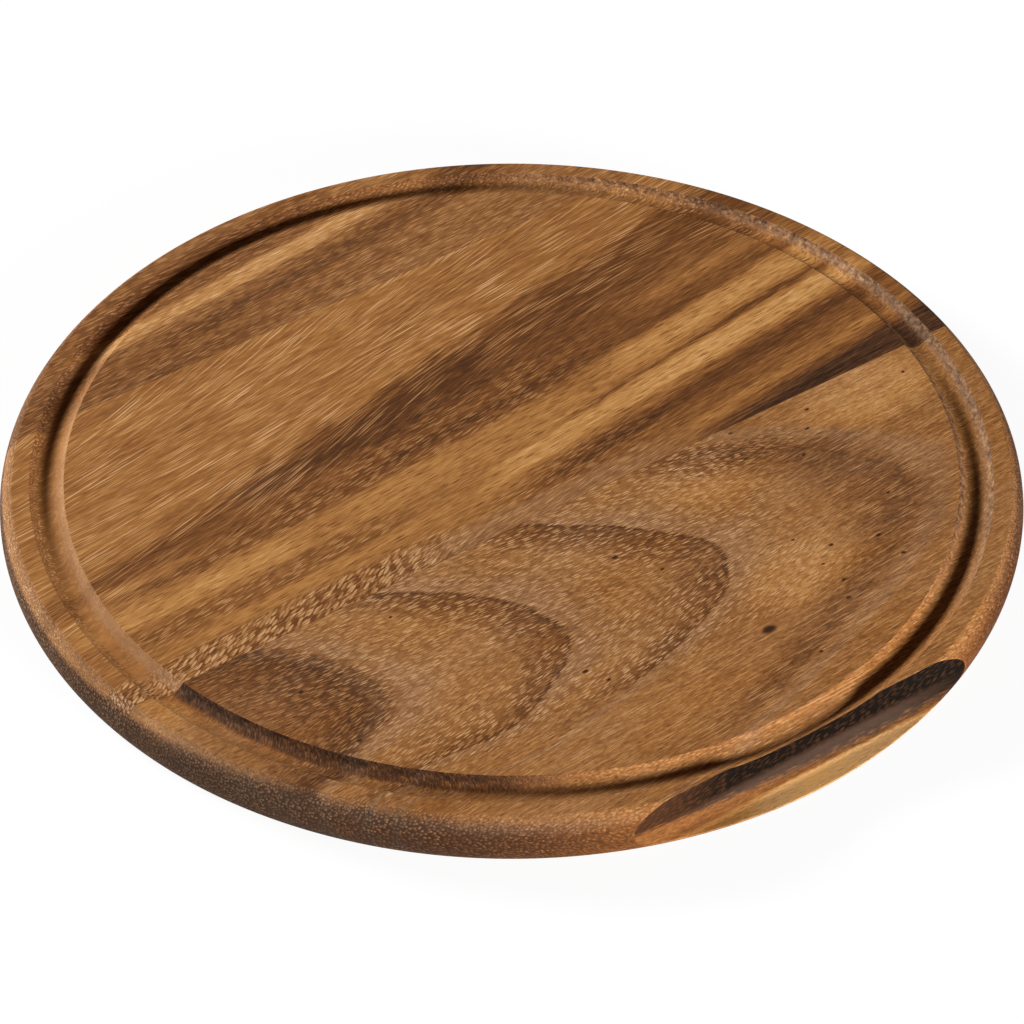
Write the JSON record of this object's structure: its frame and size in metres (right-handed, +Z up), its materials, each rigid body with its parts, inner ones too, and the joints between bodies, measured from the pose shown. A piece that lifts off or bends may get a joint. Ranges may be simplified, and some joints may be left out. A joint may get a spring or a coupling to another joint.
{
  "type": "serving board",
  "caption": "Round edge-glued wooden serving board for pizza, with a round-bottomed juice groove, a rounded edge and a straight finger scoop cut into the rim",
  "frame": {"origin": "centre of the flat underside", "axes": "+X along the grain and the glue lines, -Y towards the finger scoop, +Z up out of the serving face"},
  "size_m": [0.32, 0.3182, 0.016],
  "materials": {
    "front_wood": "oiled satin, flat-sawn arches, streaked dark below the rim at the scoop",
    "middle_wood": "oiled satin, striped brown and golden heartwood",
    "rear_wood": "oiled satin, greyish brown with a golden band",
    "dry_glue": "dried wood glue, sanded flush"
  },
  "bodies": {
    "root": {"front_stave": "front_wood", "middle_stave": "middle_wood", "rear_stave": "rear_wood", "front_glue_line": "dry_glue", "rear_glue_line": "dry_glue"}
  },
  "joints": []
}
